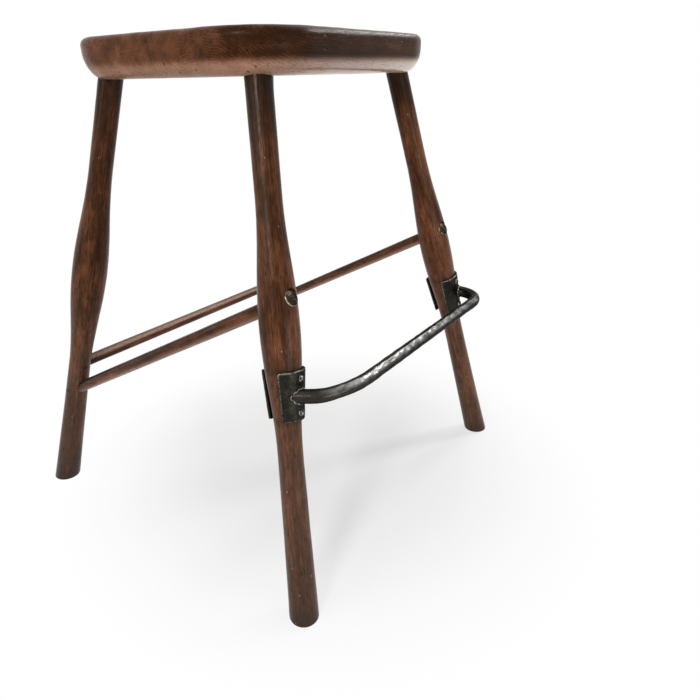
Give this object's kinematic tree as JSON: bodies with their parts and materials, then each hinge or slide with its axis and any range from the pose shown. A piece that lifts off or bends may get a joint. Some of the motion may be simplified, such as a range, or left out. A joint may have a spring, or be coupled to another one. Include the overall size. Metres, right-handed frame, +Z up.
{
  "type": "bar stool",
  "caption": "Backless wooden bar stool with splayed turned legs, sloping side stretchers and a forged iron footrest bar held in riveted saddle plates.",
  "frame": {"origin": "on the floor, under the middle of the stool", "axes": "+Z up, -Y to the front where the footrest is, +X across"},
  "size_m": [0.5922, 0.5782, 0.6985],
  "materials": {
    "stained_wood": "dark walnut stain under satin lacquer, worn",
    "wedge_wood": "end grain, stained and lacquered",
    "forged_iron": "hammered, blackened and waxed iron with rubbed highlights",
    "screw_steel": "darkened steel with a worn bright rim"
  },
  "bodies": {
    "root": {"seat": "stained_wood", "leg_front_left": "stained_wood", "leg_front_right": "stained_wood", "leg_back_left": "stained_wood", "leg_back_right": "stained_wood", "leg_wedges": "wedge_wood", "side_stretcher_left": "stained_wood", "side_stretcher_right": "stained_wood", "back_stretcher": "stained_wood", "stretcher_pegs": "wedge_wood", "stretcher_screws": "screw_steel", "footrest_bar": "forged_iron", "weld_bead_left": "forged_iron", "weld_bead_right": "forged_iron", "saddle_plate_left": "forged_iron", "saddle_plate_right": "forged_iron", "backing_plate_left": "forged_iron", "backing_plate_right": "forged_iron", "plate_bolts": "forged_iron", "plate_nuts": "forged_iron"}
  },
  "joints": []
}
